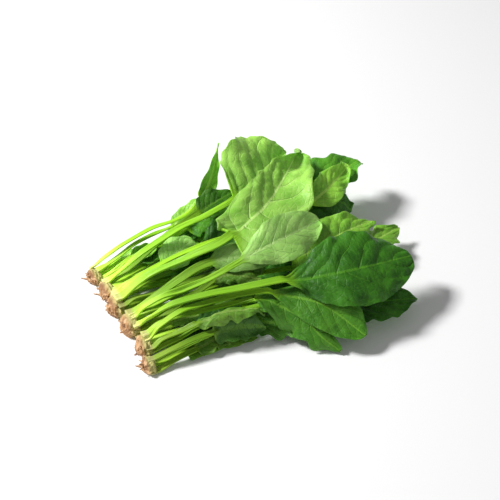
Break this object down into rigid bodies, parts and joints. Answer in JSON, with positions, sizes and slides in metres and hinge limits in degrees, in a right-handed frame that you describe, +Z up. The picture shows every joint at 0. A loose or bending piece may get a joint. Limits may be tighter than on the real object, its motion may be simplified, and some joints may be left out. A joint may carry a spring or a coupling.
{
  "type": "spinach bunch",
  "caption": "Bunch of leafy stalks with their roots on, lying flat: stalks fan from small root crowns to broad blades.",
  "frame": {"origin": "on the surface that the bunch lies on, under the middle of its outer box", "axes": "+X from the root crowns to the leaf tips, +Y to the far side, +Z up"},
  "size_m": [0.284, 0.239, 0.08],
  "materials": {
    "leaf_deep": "satin, living leaf",
    "leaf_mid": "satin, living leaf",
    "leaf_light": "satin, living leaf",
    "leaf_pale": "satin, living leaf",
    "leaf_young": "satin, living leaf",
    "root": "matt, dry root skin"
  },
  "bodies": {
    "root": {"plant_1_root": "root", "plant_2_root": "root", "plant_3_root": "root", "plant_4_root": "root", "plant_5_root": "root", "plant_6_root": "root", "plant_1_leaf_1": "leaf_mid", "plant_2_leaf_1": "leaf_light", "plant_3_leaf_1": "leaf_light", "plant_4_leaf_1": "leaf_deep", "plant_2_leaf_2": "leaf_light", "plant_3_leaf_2": "leaf_deep", "plant_4_leaf_2": "leaf_deep", "plant_3_leaf_3": "leaf_mid", "plant_1_leaf_2": "leaf_mid", "plant_2_leaf_3": "leaf_deep", "plant_3_leaf_4": "leaf_light", "plant_5_leaf_1": "leaf_deep", "plant_6_leaf_1": "leaf_light", "plant_5_leaf_2": "leaf_light", "plant_6_leaf_2": "leaf_deep", "plant_2_leaf_4": "leaf_mid", "plant_3_leaf_5": "leaf_deep", "plant_1_leaf_3": "leaf_mid", "plant_1_leaf_4": "leaf_young", "plant_1_leaf_5": "leaf_light", "plant_1_leaf_6": "leaf_light", "plant_1_leaf_7": "leaf_light", "plant_3_leaf_6": "leaf_deep", "plant_2_leaf_5": "leaf_pale", "plant_2_leaf_6": "leaf_mid", "plant_2_leaf_7": "leaf_young", "plant_3_leaf_7": "leaf_light", "plant_4_leaf_3": "leaf_light", "plant_4_leaf_4": "leaf_light", "plant_4_leaf_5": "leaf_light", "plant_6_leaf_3": "leaf_light", "plant_6_leaf_4": "leaf_mid", "plant_5_leaf_3": "leaf_mid", "plant_5_leaf_4": "leaf_deep", "plant_6_leaf_5": "leaf_mid", "plant_5_leaf_5": "leaf_light", "plant_3_leaf_8": "leaf_light", "plant_5_leaf_6": "leaf_light", "plant_4_leaf_6": "leaf_light", "plant_5_leaf_7": "leaf_mid", "plant_5_leaf_8": "leaf_mid", "plant_4_leaf_7": "leaf_deep", "plant_4_leaf_8": "leaf_pale", "plant_3_leaf_9": "leaf_young", "plant_4_leaf_9": "leaf_pale"}
  },
  "joints": []
}
